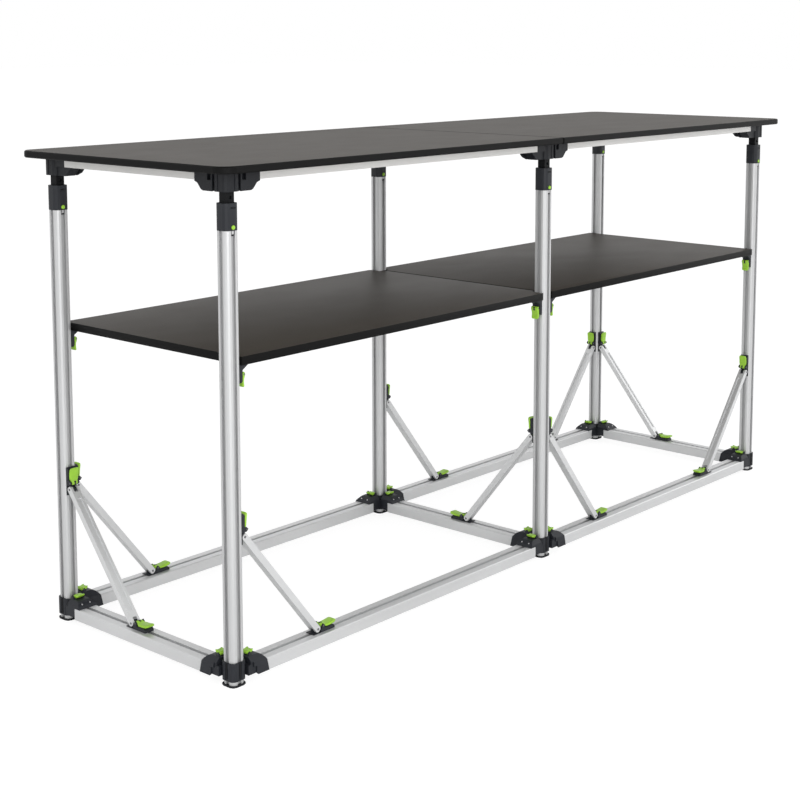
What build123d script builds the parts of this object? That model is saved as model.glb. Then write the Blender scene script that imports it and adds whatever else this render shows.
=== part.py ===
"""Knock-down work table: two bays of plug-together aluminium frame, a shelf and a two-board top.

Millimetres. X runs along the table, the front is -Y, Z is up, and the origin is on the floor
under the middle of the top.
"""

import os
from math import asin, atan2, cos, degrees, hypot, pi, radians, sin

from build123d import *

os.makedirs("parts", exist_ok=True)

# Layout of the six posts
post_pitch_x = 885.0
post_pitch_y = 466.0
table_height = 900.0

# Clearances
sliding_gap = 0.35
running_gap = 0.3
pin_gap = 0.1
side_gap = 0.2
seat_gap = 0.1

# Sweep of the true round left on each hinge's barrel or lug, in degrees
hinge_round = 30.0

# Boards
top_thickness = 13.0
shelf_thickness = 15.0
top_overhang = 50.0
top_corner_radius = 28.0
top_edge_chamfer = 2.0
board_seam = 1.0
shelf_underside = 558.5
shelf_edge_overhang = 18.0
shelf_end_gap = 40.0
shelf_notch_x = 34.0
shelf_notch_y = 24.0

# Post extrusion
post_side = 29.0
post_corner_radius = 9.0
post_corner_flats = 4
post_groove_mouth = 8.0
post_groove_lip = 1.4
post_groove_width = 11.0
post_groove_depth = 3.4
neck_side = 17.5
foot_thickness = 3.0
foot_side = 34.0
foot_corner_radius = 9.0

# Leg heads, telescopic necks and lock buttons
head_height = 46.0
head_side = 30.0
head_corner_radius = 9.5
neck_show = 19.0
head_slot_width = 12.0
head_slot_height = 3.0
head_slot_depth = 1.2
head_slot_drop = 8.0
neck_length = 150.0
detent_side = 5.5
detent_depth = 2.0
detent_pitch = 14.0
detent_drop = 10.0
detent_rows = 3
button_diameter = 7.6
button_sides = 8
button_height = 5.6
button_proud = 1.8
button_length = 4.0
button_travel = 2.0

# Rails
base_rail_width = 40.0
base_rail_bottom = 11.0
base_rail_height = 22.0
base_rail_chamfer = 1.5
rail_slot_mouth = 8.0
rail_slot_lip = 2.0
rail_slot_width = 14.0
rail_slot_depth = 8.0
rail_wall = 2.5
top_rail_width = 30.0
top_rail_height = 16.0
rail_butt = 43.0

# Base sockets and their rail arms
socket_bottom = 10.0
socket_top = 43.0
socket_side = 33.5
socket_corner_radius = 9.5
socket_bore_corner = 4.5
face_groove_width = 8.0
face_groove_depth = 0.9
arm_root = 16.0
arm_bottom = 15.0
cheek_bottom = 12.0
cheek_thickness = 2.5
cheek_reach = 63.0
hood_start = 21.5
hood_top = 46.0
hood_steps = 4
hood_ridge_width = 26.0
hood_side_drop = 11.0
hood_flat_end = 40.0
hood_chamfer = 1.5
cheek_notch_start = 27.0
cheek_notch_end = 34.0
cheek_notch_top = 28.0
cheek_foot_chamfer = 3.0

# Top connectors
connector_height = 33.0
connector_side = 34.0
connector_corner_radius = 9.0
tongue_width = 22.0
tongue_flat_end = 40.0
tongue_reach = 56.0
tongue_tip_height = 1.5
top_cheek_reach = 60.0
top_cheek_end_height = 18.0
top_cheek_step_width = 7.0
top_cheek_step_drop = 2.5
top_cheek_slope_end = 44.0
top_cheek_flat_end = 39.0
top_cheek_toe = 2.0
pocket_start = 19.0
pocket_length = 9.0
pocket_height = 13.0
pocket_depth = 6.0

# Rail latches
latch_hinge = 27.0
latch_barrel_radius = 3.5
latch_width = 20.0
latch_length = 13.0
latch_tip_height = 9.0
latch_notch_depth = 5.0
latch_notch_width = 9.0
latch_ear_thickness = 2.4

# Corner braces and their clamps
brace_height = 258.0
brace_reach = 198.0
brace_width = 18.0
brace_depth = 12.0
brace_groove_width = 8.0
brace_groove_depth = 2.0
brace_groove_end = 22.0
brace_end = 5.0
brace_end_chamfer = 3.0
fork_width = 8.6
fork_depth = 8.5
pivot_diameter = 4.0
pivot_sides = 6
pivot_rise = 8.0
lug_radius = 5.5
clamp_width = 20.0
clamp_tail = 12.0
clamp_length = 54.0
clamp_body_height = 7.0
clamp_foot_height = 1.4
clamp_key_depth = 1.3
lever_hinge = 13.0
lever_barrel_radius = 4.0
lever_width = 20.0
lever_neck_width = 14.0
lever_length = 37.0
lever_shoulder_gap = 2.0
lever_toe = 5.0
lever_toe_rise = 2.0
lever_lip = 2.0
lever_brow = 4.0
lever_brow_fall = 1.5
ear_thickness = 2.6

# Shelf clamps
shelf_clamp_width = 20.0
shelf_clamp_drop = 36.0
shelf_clamp_plate = 7.0
shelf_tongue_reach = 60.0
shelf_tongue_thickness = 7.0
shelf_lever_width = 16.0
shelf_lever_neck = 11.0
shelf_lever_length = 30.0
shelf_lever_drop = 17.0
shelf_plate_foot = 2.0
shelf_plate_foot_rise = 3.0

# Values that follow from the sizes above
half_x = post_pitch_x
half_y = post_pitch_y / 2
top_underside = table_height - top_thickness
connector_bottom = top_underside - connector_height
head_top = connector_bottom - neck_show
head_bottom = head_top - head_height
base_rail_top = base_rail_bottom + base_rail_height
top_rail_bottom = top_underside - top_rail_height
bore_side = neck_side + 2 * sliding_gap
base_cheek_face = base_rail_width / 2 + side_gap
top_cheek_face = top_rail_width / 2 + side_gap
post_face = post_side / 2
key_width = post_groove_mouth - 2 * running_gap
brace_run = brace_reach - post_face - pivot_rise
brace_drop = brace_height - base_rail_top - pivot_rise
brace_length = hypot(brace_run, brace_drop)
brace_angle = degrees(atan2(brace_drop, brace_run))

# Posts by name, and the headings of what leaves them
posts = {
    "left_front": (-half_x, -half_y),
    "left_rear": (-half_x, half_y),
    "middle_front": (0.0, -half_y),
    "middle_rear": (0.0, half_y),
    "right_front": (half_x, -half_y),
    "right_rear": (half_x, half_y),
}
EAST = 0
NORTH = 90
WEST = 180
SOUTH = 270
corner_posts = ["left_front", "left_rear", "right_front", "right_rear"]
middle_posts = ["middle_front", "middle_rear"]
arms = {
    "left_front": [EAST, NORTH],
    "left_rear": [EAST, SOUTH],
    "middle_front": [WEST, EAST, NORTH],
    "middle_rear": [WEST, EAST, SOUTH],
    "right_front": [WEST, NORTH],
    "right_rear": [WEST, SOUTH],
}


def on_post(post, heading=EAST):
    """Place on the floor under a post, turned so that local X runs outwards on a heading."""
    x, y = posts[post]
    return Location((x, y, 0), (0, 0, heading))


def arm_places(names, headings):
    """Every arm of the named posts that leaves on one of the headings."""
    return [on_post(post, way) for post in names for way in arms[post] if way in headings]


def arc_points(centre, radii, start, end, steps):
    """Points along an elliptical arc in a plane, for a round that is cut into few flats."""
    angles = [radians(start + (end - start) * step / steps) for step in range(steps + 1)]
    return [(centre[0] + radii[0] * cos(angle), centre[1] + radii[1] * sin(angle)) for angle in angles]


def soft_square(side, radius, flats):
    """Corners of a square with each corner rounded in a number of flats."""
    inset = side / 2 - radius
    centres = [(inset, inset), (-inset, inset), (-inset, -inset), (inset, -inset)]
    corners = []
    for turn, centre in enumerate(centres):
        corners += arc_points(centre, (radius, radius), 90 * turn, 90 * turn + 90, flats)
    return corners


def write(builder, name):
    """Label a finished piece and write it to its own file."""
    builder.part.label = name
    export_step(builder.part, f"parts/{name}.step")


# Posts: one square extrusion with an undercut groove on each face and a square bore
with BuildSketch() as post_section:
    Polygon(*soft_square(post_side, post_corner_radius, post_corner_flats), align=None)
    Rectangle(bore_side, bore_side, mode=Mode.SUBTRACT)
    with PolarLocations(post_face, 4):
        with Locations((-post_groove_depth / 2, 0)):
            Rectangle(post_groove_depth, post_groove_mouth, mode=Mode.SUBTRACT)
        with Locations((-(post_groove_depth + post_groove_lip) / 2, 0)):
            Rectangle(post_groove_depth - post_groove_lip, post_groove_width, mode=Mode.SUBTRACT)

for post_name, (post_x, post_y) in posts.items():
    with BuildPart() as post:
        with BuildSketch(Plane((post_x, post_y, foot_thickness))):
            add(post_section.sketch)
        extrude(amount=head_bottom - foot_thickness)
    write(post, f"post_{post_name}")

# Foot pads under the posts
with BuildPart() as foot_pads:
    with BuildSketch():
        with Locations(*posts.values()):
            Polygon(*soft_square(foot_side, foot_corner_radius, 2), align=None)
    extrude(amount=foot_thickness)
write(foot_pads, "foot_pads")

# Leg heads: a block on each post with the bore for the neck, a slot and the button's pocket
with BuildPart() as leg_head:
    with BuildSketch(Plane.XY.offset(head_bottom)):
        Polygon(*soft_square(head_side, head_corner_radius, 3), align=None)
        Rectangle(bore_side, bore_side, mode=Mode.SUBTRACT)
    extrude(amount=head_height)
    with BuildSketch(Plane.XZ.offset(head_side / 2)):
        with Locations((0, head_bottom + button_height)):
            RegularPolygon(button_diameter / 2 + running_gap, button_sides)
    extrude(amount=-(button_length - button_proud + button_travel + running_gap), mode=Mode.SUBTRACT)
    with BuildSketch(Plane.XZ.offset(head_side / 2)):
        with Locations((0, head_top - head_slot_drop)):
            Rectangle(head_slot_width, head_slot_height)
    extrude(amount=-head_slot_depth, mode=Mode.SUBTRACT)

with BuildPart() as leg_heads:
    with Locations(*[on_post(post) for post in posts]):
        add(leg_head.part)
write(leg_heads, "leg_heads")

# Lock buttons on the front faces of the leg heads
with BuildPart() as lock_button:
    with BuildSketch(Plane.XZ.offset(head_side / 2 + button_proud)):
        with Locations((0, head_bottom + button_height)):
            RegularPolygon(button_diameter / 2, button_sides)
    extrude(amount=-button_length)

with BuildPart() as lock_buttons:
    with Locations(*[on_post(post) for post in posts]):
        add(lock_button.part)
write(lock_buttons, "lock_buttons")

# Telescopic necks with a row of detents on the button's side
with BuildPart() as neck:
    with BuildSketch(Plane.XY.offset(connector_bottom)):
        Rectangle(neck_side, neck_side)
    extrude(amount=-neck_length)
    with BuildSketch(Plane.XZ.offset(neck_side / 2)):
        for row in range(detent_rows):
            with Locations((0, connector_bottom - detent_drop - row * detent_pitch)):
                Rectangle(detent_side, detent_side)
    extrude(amount=-detent_depth, mode=Mode.SUBTRACT)

with BuildPart() as telescopic_necks:
    with Locations(*[on_post(post) for post in posts]):
        add(neck.part)
write(telescopic_necks, "telescopic_necks")

# Base rails: a slotted extrusion, butted between the socket arms
with BuildSketch() as base_rail_section:
    with Locations((0, base_rail_bottom + base_rail_height / 2)):
        Rectangle(base_rail_width, base_rail_height)
    chamfer(base_rail_section.vertices().group_by(Axis.Y)[-1], base_rail_chamfer)
    with Locations((0, base_rail_top)):
        Rectangle(rail_slot_mouth, 2 * rail_slot_lip, mode=Mode.SUBTRACT)
    with Locations((0, base_rail_top - (rail_slot_lip + rail_slot_depth) / 2)):
        Rectangle(rail_slot_width, rail_slot_depth - rail_slot_lip, mode=Mode.SUBTRACT)
    hollow_top = base_rail_top - rail_slot_depth - rail_wall
    hollow_bottom = base_rail_bottom + rail_wall
    with Locations((0, (hollow_top + hollow_bottom) / 2)):
        Rectangle(base_rail_width - 2 * rail_wall, hollow_top - hollow_bottom, mode=Mode.SUBTRACT)

with BuildSketch() as top_rail_section:
    with Locations((0, top_rail_bottom + top_rail_height / 2)):
        Rectangle(top_rail_width, top_rail_height)
        Rectangle(top_rail_width - 2 * rail_wall, top_rail_height - 2 * rail_wall, mode=Mode.SUBTRACT)

rail_sections = {"base_rails": base_rail_section, "top_rails": top_rail_section}
long_rail_length = post_pitch_x - 2 * rail_butt
cross_rail_length = post_pitch_y - 2 * rail_butt
for rail_name, section in rail_sections.items():
    with BuildPart() as long_rails:
        for rail_x in (-half_x + rail_butt, rail_butt):
            for rail_y in (-half_y, half_y):
                rail_end = Plane((rail_x, rail_y, 0), x_dir=(0, 1, 0), z_dir=(1, 0, 0))
                with BuildSketch(rail_end):
                    add(section.sketch)
        extrude(amount=long_rail_length)
    write(long_rails, f"{rail_name}_long")
    with BuildPart() as cross_rails:
        for rail_x in (-half_x, 0, half_x):
            rail_end = Plane((rail_x, half_y - rail_butt, 0), x_dir=(1, 0, 0), z_dir=(0, -1, 0))
            with BuildSketch(rail_end):
                add(section.sketch)
        extrude(amount=cross_rail_length)
    write(cross_rails, f"{rail_name}_cross")

# Base socket: a short tube round the post with a shallow groove on each face
with BuildPart() as base_socket:
    with BuildSketch(Plane.XY.offset(socket_bottom)):
        Polygon(*soft_square(socket_side, socket_corner_radius, 3), align=None)
        Polygon(*soft_square(post_side + 2 * side_gap, socket_bore_corner, 1), align=None, mode=Mode.SUBTRACT)
        with PolarLocations(socket_side / 2, 4):
            Rectangle(2 * face_groove_depth, face_groove_width, mode=Mode.SUBTRACT)
    extrude(amount=socket_top - socket_bottom)

# Base arm with its cheek on the right: butt block, rounded hood over the rail end, notched cheek
hood_radii = (cheek_reach - hood_flat_end, hood_top - cheek_bottom)
hood_lip_angle = degrees(asin((base_rail_top - cheek_bottom) / hood_radii[1]))
hood_back = [(hood_start + hood_chamfer, hood_top), (hood_start, hood_top - hood_chamfer)]
hood_curve = arc_points((hood_flat_end, cheek_bottom), hood_radii, hood_lip_angle, 90, hood_steps)
cheek_curve = arc_points((hood_flat_end, cheek_bottom), hood_radii, 0, hood_lip_angle, 1)
hood_shoulder = hood_top - hood_side_drop
with BuildPart() as base_arm_right:
    with BuildSketch(Plane.XZ.offset(-base_rail_width / 2)):
        with Locations(((arm_root + rail_butt) / 2, (arm_bottom + base_rail_top) / 2)):
            Rectangle(rail_butt - arm_root, base_rail_top - arm_bottom)
        Polygon(*hood_curve, *hood_back, (hood_start, base_rail_top), align=None)
    extrude(amount=base_rail_width / 2 + base_cheek_face)
    with BuildSketch(Plane.XZ.offset(base_cheek_face)):
        Polygon(*cheek_curve, *hood_curve[1:], (cheek_notch_start, hood_top),
                (cheek_notch_start, cheek_notch_top), (cheek_notch_end, cheek_notch_top),
                (cheek_notch_end, cheek_bottom + cheek_foot_chamfer),
                (cheek_notch_end + cheek_foot_chamfer, cheek_bottom), align=None)
    extrude(amount=cheek_thickness)
    with BuildSketch(Plane.YZ.offset(arm_root)):
        for side in (-1, 1):
            Polygon((side * hood_ridge_width / 2, hood_top), (side * base_rail_width, hood_top),
                    (side * base_rail_width, hood_shoulder),
                    (side * (base_cheek_face + cheek_thickness), hood_shoulder), align=None)
    extrude(amount=cheek_reach, mode=Mode.SUBTRACT)
    ear_curve = arc_points((latch_hinge, hood_top + latch_barrel_radius),
                           (latch_barrel_radius, latch_barrel_radius), 0, 180, 2)
    for ear_side in (-1, 1):
        with BuildSketch(Plane.XZ.offset(ear_side * (latch_width / 2 + running_gap))):
            Polygon(*ear_curve, (latch_hinge - latch_barrel_radius, hood_top),
                    (latch_hinge + latch_barrel_radius, hood_top), align=None)
        extrude(amount=ear_side * latch_ear_thickness)

with BuildPart() as base_arm_left:
    mirror(base_arm_right.part, about=Plane.XZ)

for group_name, group_posts in (("corner", corner_posts), ("middle", middle_posts)):
    with BuildPart() as base_sockets:
        with Locations(*[on_post(post) for post in group_posts]):
            add(base_socket.part)
        with Locations(*arm_places(group_posts, (EAST, WEST))):
            add(base_arm_right.part)
        with Locations(*arm_places(group_posts, (NORTH, SOUTH))):
            add(base_arm_left.part)
    write(base_sockets, f"base_sockets_{group_name}")

# Rail latch: a barrel between the hood's ears and a finger tab with two lobes
latch_axis_z = hood_top + latch_barrel_radius + running_gap
latch_floor = hood_top + running_gap
latch_tip = latch_hinge + latch_length
latch_waist = latch_hinge + latch_length / 2
with BuildPart() as rail_latch:
    with BuildSketch(Plane.XZ):
        with BuildLine():
            crown = CenterArc((latch_hinge, latch_axis_z), latch_barrel_radius,
                              180 - hinge_round / 2, hinge_round)
            Polyline(crown @ 1, (latch_hinge, latch_floor), (latch_waist, latch_floor),
                     (latch_tip, latch_floor + latch_tip_height / 2),
                     (latch_tip, latch_floor + latch_tip_height),
                     (latch_waist, latch_floor + 2 * latch_barrel_radius),
                     (latch_hinge, latch_floor + 2 * latch_barrel_radius), crown @ 0)
        make_face()
    extrude(amount=latch_width / 2, both=True)
    with BuildSketch(Plane.XY.offset(latch_floor)):
        Polygon((latch_tip, -latch_notch_width / 2), (latch_tip, latch_notch_width / 2),
                (latch_tip - latch_notch_depth, 0), align=None)
    extrude(amount=2 * latch_tip_height, mode=Mode.SUBTRACT)

latch_groups = {
    "rail_latches_left": [("left_front", EAST), ("left_rear", EAST)],
    "rail_latches_middle_west": [("middle_front", WEST), ("middle_rear", WEST)],
    "rail_latches_middle_east": [("middle_front", EAST), ("middle_rear", EAST)],
    "rail_latches_right": [("right_front", WEST), ("right_rear", WEST)],
    "rail_latches_front": [("left_front", NORTH), ("middle_front", NORTH), ("right_front", NORTH)],
    "rail_latches_rear": [("left_rear", SOUTH), ("middle_rear", SOUTH), ("right_rear", SOUTH)],
}
for group_name, members in latch_groups.items():
    with BuildPart() as rail_latches:
        with Locations(*[on_post(post, way) for post, way in members]):
            add(rail_latch.part)
    write(rail_latches, group_name)

# Top connectors: a grooved column with an arm, a tongue and a stepped cheek for each rail
with BuildPart() as connector_column:
    with BuildSketch(Plane.XY.offset(connector_bottom)):
        Polygon(*soft_square(connector_side, connector_corner_radius, 3), align=None)
        with PolarLocations(connector_side / 2, 4):
            Rectangle(2 * face_groove_depth, face_groove_width, mode=Mode.SUBTRACT)
    extrude(amount=top_underside - connector_bottom)

top_cheek_end = top_underside - top_cheek_end_height
with BuildPart() as top_arm_right:
    with BuildSketch(Plane.XZ.offset(-top_rail_width / 2)):
        with Locations(((arm_root + rail_butt) / 2, (top_rail_bottom + top_underside) / 2)):
            Rectangle(rail_butt - arm_root, top_underside - top_rail_bottom)
    extrude(amount=top_rail_width / 2 + top_cheek_face)
    with BuildSketch(Plane.XZ):
        with BuildLine():
            Polyline((arm_root, connector_bottom), (tongue_flat_end, connector_bottom),
                     (tongue_reach, top_rail_bottom - tongue_tip_height),
                     (tongue_reach, top_rail_bottom), (arm_root, top_rail_bottom), close=True)
        make_face()
    extrude(amount=tongue_width / 2, both=True)
    with BuildSketch(Plane.XZ.offset(top_cheek_face)):
        with BuildLine():
            Polyline((arm_root, connector_bottom), (top_cheek_flat_end, connector_bottom),
                     (top_cheek_slope_end, connector_bottom + top_cheek_toe),
                     (top_cheek_reach - top_cheek_step_width, top_cheek_end - top_cheek_step_drop),
                     (top_cheek_reach, top_cheek_end), (top_cheek_reach, top_underside),
                     (arm_root, top_underside), close=True)
        make_face()
    extrude(amount=cheek_thickness)
    with BuildSketch(Plane.XZ.offset(top_cheek_face + cheek_thickness)):
        with Locations((pocket_start + pocket_length / 2, (top_rail_bottom + top_underside) / 2)):
            Rectangle(pocket_length, pocket_height)
    extrude(amount=-pocket_depth, mode=Mode.SUBTRACT)

with BuildPart() as top_arm_left:
    mirror(top_arm_right.part, about=Plane.XZ)

for group_name, group_posts in (("corner", corner_posts), ("middle", middle_posts)):
    with BuildPart() as top_connectors:
        with Locations(*[on_post(post) for post in group_posts]):
            add(connector_column.part)
        with Locations(*arm_places(group_posts, (EAST, WEST))):
            add(top_arm_right.part)
        with Locations(*arm_places(group_posts, (NORTH, SOUTH))):
            add(top_arm_left.part)
    write(top_connectors, f"top_connectors_{group_name}")

# Top boards: round outer corners and a broken edge all round except at the seam
board_end = half_x + top_overhang
board_side = half_y + top_overhang
for board_name, side in (("left", -1), ("right", 1)):
    board_middle = side * (board_end + board_seam / 2) / 2
    with BuildPart() as top_board:
        with BuildSketch(Plane.XY.offset(top_underside)) as board_outline:
            with Locations((board_middle, 0)):
                Rectangle(board_end - board_seam / 2, 2 * board_side)
            outer_corners = board_outline.vertices().sort_by(Axis.X, reverse=side > 0)[:2]
            fillet(outer_corners, top_corner_radius)
        extrude(amount=top_thickness)
        rims = top_board.faces().filter_by(Axis.Z).edges()
        seam_edges = rims.sort_by(Axis.X, reverse=side < 0)[:2]
        chamfer([edge for edge in rims if edge not in seam_edges], top_edge_chamfer)
    write(top_board, f"top_board_{board_name}")

# Shelf boards: square edges, notched round the middle posts
shelf_end = half_x - shelf_end_gap
shelf_side = half_y + shelf_edge_overhang
shelf_notch_depth = shelf_side - half_y + shelf_notch_y
for board_name, side in (("left", -1), ("right", 1)):
    with BuildPart() as shelf_board:
        with BuildSketch(Plane.XY.offset(shelf_underside)):
            with Locations((side * (shelf_end + board_seam / 2) / 2, 0)):
                Rectangle(shelf_end - board_seam / 2, 2 * shelf_side)
            with Locations((0, shelf_side - shelf_notch_depth / 2), (0, shelf_notch_depth / 2 - shelf_side)):
                Rectangle(2 * shelf_notch_x, shelf_notch_depth, mode=Mode.SUBTRACT)
        extrude(amount=shelf_thickness)
    write(shelf_board, f"shelf_board_{board_name}")

# Brace clamp, drawn lying flat: X along the slot towards the lever, Z away from the slotted face
lever_axis_z = clamp_body_height + lever_barrel_radius + running_gap
lever_radii = (lever_barrel_radius, lever_barrel_radius)
clamp_front = clamp_length - clamp_tail
clamp_body_start = brace_depth / 2 + 2 * running_gap
ear_outer = clamp_width / 2
ear_inner = ear_outer - ear_thickness
pivot_hole_radius = (pivot_diameter / 2 + pin_gap) / cos(pi / pivot_sides)
with BuildPart() as brace_clamp:
    with BuildSketch(Plane.XZ):
        Polygon((-clamp_tail, 0), (clamp_front, 0), (clamp_front, clamp_body_height / 2),
                (clamp_front - clamp_body_height / 2, clamp_body_height),
                (clamp_body_start, clamp_body_height), (clamp_body_start, clamp_foot_height),
                (-clamp_tail, clamp_foot_height), align=None)
    extrude(amount=clamp_width / 2, both=True)
    with BuildSketch(Plane.XZ):
        with BuildLine():
            crown = CenterArc((0, pivot_rise), lug_radius, 90 - hinge_round / 2, hinge_round)
            Polyline(crown @ 1, (-lug_radius, pivot_rise), (-lug_radius, 0), (lug_radius, 0),
                     (lug_radius, pivot_rise), crown @ 0)
        make_face()
    extrude(amount=fork_width / 2 - running_gap, both=True)
    with BuildSketch(Plane.XZ):
        with Locations((0, pivot_rise)):
            RegularPolygon(pivot_hole_radius, pivot_sides)
    extrude(amount=fork_width, both=True, mode=Mode.SUBTRACT)
    for ear_sign in (-1, 1):
        with BuildSketch(Plane.XZ.offset(ear_sign * ear_inner)):
            Polygon(*arc_points((lever_hinge, lever_axis_z), lever_radii, 0, 180, 2),
                    (lever_hinge - lever_barrel_radius, clamp_body_height / 2),
                    (lever_hinge + lever_barrel_radius, clamp_body_height / 2), align=None)
        extrude(amount=ear_sign * ear_thickness)
    with BuildSketch(Plane.XY):
        with Locations(((clamp_front - clamp_tail) / 2, 0)):
            Rectangle(clamp_length - key_width, key_width)
    extrude(amount=-clamp_key_depth)

# Brace lever in the clamp's frame: hinge barrel between the ears and a wider arm
lever_tip = lever_hinge + lever_length
lever_floor = lever_axis_z - lever_barrel_radius
lever_roof = lever_axis_z + lever_barrel_radius
lever_shoulder = lever_hinge + lever_barrel_radius + lever_shoulder_gap
with BuildPart() as brace_lever:
    with BuildSketch(Plane.XZ):
        with BuildLine():
            crown = CenterArc((lever_hinge, lever_axis_z), lever_barrel_radius,
                              180 - hinge_round / 2, hinge_round)
            Polyline(crown @ 1, (lever_hinge, lever_floor), (lever_shoulder, lever_floor),
                     (lever_shoulder, lever_roof), (lever_hinge, lever_roof), crown @ 0)
        make_face()
    extrude(amount=lever_neck_width / 2, both=True)
    with BuildSketch(Plane.XZ):
        Polygon((lever_shoulder, lever_floor), (lever_tip - lever_toe, lever_floor),
                (lever_tip, lever_floor + lever_toe_rise),
                (lever_tip, lever_floor + lever_toe_rise + lever_lip),
                (lever_tip - lever_brow, lever_roof - lever_brow_fall),
                (lever_shoulder, lever_roof), align=None)
    extrude(amount=lever_width / 2, both=True)

# Where a clamp and its lever sit at each end of a brace, in the frame of the post
upper_seat = Plane((post_face, 0, brace_height), x_dir=(0, 0, 1), z_dir=(1, 0, 0)).location
lower_seat = Location((brace_reach, 0, base_rail_top + seat_gap))

# Brace in the frame of the post: grooved flat tube, forked round the lug at each end
brace_plane = Plane((post_face + pivot_rise, 0, brace_height),
                    x_dir=(cos(radians(brace_angle)), 0, -sin(radians(brace_angle))), z_dir=(0, -1, 0))
with BuildPart() as brace_tube:
    with BuildSketch(brace_plane) as tube_outline:
        with Locations((brace_length / 2, 0)):
            Rectangle(brace_length + 2 * brace_end, brace_depth)
        chamfer(tube_outline.vertices(), brace_end_chamfer)
    extrude(amount=brace_width / 2, both=True)
    with BuildSketch(brace_plane):
        for fork_start, fork_end in ((-brace_depth, fork_depth),
                                     (brace_length - fork_depth, brace_length + brace_depth)):
            with Locations(((fork_start + fork_end) / 2, 0)):
                Rectangle(fork_end - fork_start, 2 * brace_depth)
    extrude(amount=fork_width / 2, both=True, mode=Mode.SUBTRACT)
    with BuildSketch(brace_plane):
        with Locations((brace_length / 2, brace_depth / 2)):
            Rectangle(brace_length - 2 * brace_groove_end, 2 * brace_groove_depth)
    extrude(amount=brace_groove_width / 2, both=True, mode=Mode.SUBTRACT)

# Pivot pins of one brace, held between the prongs of its forks
with BuildPart() as brace_pin_set:
    with BuildSketch(brace_plane):
        with Locations((0, 0), (brace_length, 0)):
            RegularPolygon(pivot_diameter / 2, pivot_sides)
    extrude(amount=fork_width / 2, both=True)

brace_groups = {
    "long_brace_left": [("left_rear", EAST), ("left_front", EAST)],
    "long_brace_middle": [("middle_rear", EAST), ("middle_front", EAST)],
    "long_brace_right": [("right_rear", WEST), ("right_front", WEST)],
    "cross_brace_outer": [("left_rear", SOUTH), ("right_rear", SOUTH)],
    "cross_brace_middle": [("middle_front", NORTH)],
}
for group_name, members in brace_groups.items():
    places = [on_post(post, way) for post, way in members]
    with BuildPart() as brace_tubes:
        with Locations(*places):
            add(brace_tube.part)
    write(brace_tubes, f"{group_name}_tubes")
    with BuildPart() as brace_pins:
        with Locations(*places):
            add(brace_pin_set.part)
    write(brace_pins, f"{group_name}_pins")
    with BuildPart() as rail_clamps:
        with Locations(*[place * lower_seat for place in places]):
            add(brace_clamp.part)
    write(rail_clamps, f"{group_name}_rail_clamps")
    with BuildPart() as rail_levers:
        with Locations(*[place * lower_seat for place in places]):
            add(brace_lever.part)
    write(rail_levers, f"{group_name}_rail_levers")
    with BuildPart() as post_levers:
        with Locations(*[place * upper_seat for place in places]):
            add(brace_lever.part)
    write(post_levers, f"{group_name}_post_levers")

with BuildPart() as brace_post_clamps:
    for members in brace_groups.values():
        with Locations(*[on_post(post, way) * upper_seat for post, way in members]):
            add(brace_clamp.part)
write(brace_post_clamps, "brace_post_clamps")

# Shelf clamp in the frame of the post: plate on the post face, tongue under the board, two ears
plate_face = post_face + shelf_clamp_plate
shelf_hinge_x = plate_face + lever_barrel_radius + running_gap
shelf_hinge_z = shelf_underside - shelf_lever_drop
shelf_ear_outer = shelf_lever_width / 2
shelf_ear_inner = shelf_lever_neck / 2 + running_gap
tongue_root = shelf_underside - 1.5 * shelf_tongue_thickness
with BuildPart() as shelf_clamp:
    with BuildSketch(Plane.XZ):
        with BuildLine():
            Polyline((post_face, shelf_underside - shelf_clamp_drop),
                     (plate_face - shelf_plate_foot, shelf_underside - shelf_clamp_drop),
                     (plate_face, shelf_underside - shelf_clamp_drop + shelf_plate_foot_rise),
                     (plate_face, tongue_root),
                     (shelf_tongue_reach, shelf_underside - shelf_tongue_thickness / 2),
                     (shelf_tongue_reach, shelf_underside), (post_face, shelf_underside), close=True)
        make_face()
    extrude(amount=shelf_clamp_width / 2, both=True)
    for ear_sign in (-1, 1):
        with BuildSketch(Plane.XZ.offset(ear_sign * shelf_ear_inner)):
            Polygon(*arc_points((shelf_hinge_x, shelf_hinge_z), lever_radii, -90, 90, 2),
                    (post_face + shelf_clamp_plate / 2, shelf_hinge_z + lever_barrel_radius),
                    (post_face + shelf_clamp_plate / 2, shelf_hinge_z - lever_barrel_radius), align=None)
        extrude(amount=ear_sign * (shelf_ear_outer - shelf_ear_inner))
    with BuildSketch(Plane.YZ.offset(post_face)):
        with Locations((0, shelf_underside - shelf_clamp_drop / 2)):
            Rectangle(key_width, shelf_clamp_drop)
    extrude(amount=-clamp_key_depth)

# Shelf lever: hangs from a barrel between the ears
shelf_lever_tip = shelf_hinge_z - shelf_lever_length
shelf_shoulder = shelf_hinge_z - lever_barrel_radius - lever_shoulder_gap
shelf_lever_back = shelf_hinge_x - lever_barrel_radius
shelf_lever_front = shelf_hinge_x + lever_barrel_radius
with BuildPart() as shelf_lever:
    with BuildSketch(Plane.XZ):
        with BuildLine():
            crown = CenterArc((shelf_hinge_x, shelf_hinge_z), lever_barrel_radius,
                              90 - hinge_round / 2, hinge_round)
            Polyline(crown @ 1, (shelf_lever_back, shelf_hinge_z), (shelf_lever_back, shelf_shoulder),
                     (shelf_lever_front, shelf_shoulder), (shelf_lever_front, shelf_hinge_z), crown @ 0)
        make_face()
    extrude(amount=shelf_lever_neck / 2, both=True)
    with BuildSketch(Plane.XZ):
        Polygon((shelf_lever_back, shelf_shoulder), (shelf_lever_back, shelf_lever_tip + lever_toe),
                (shelf_lever_back + lever_toe_rise, shelf_lever_tip),
                (shelf_lever_back + lever_toe_rise + lever_lip, shelf_lever_tip),
                (shelf_lever_front - lever_brow_fall, shelf_lever_tip + lever_brow),
                (shelf_lever_front, shelf_shoulder), align=None)
    extrude(amount=shelf_lever_width / 2, both=True)

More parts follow.
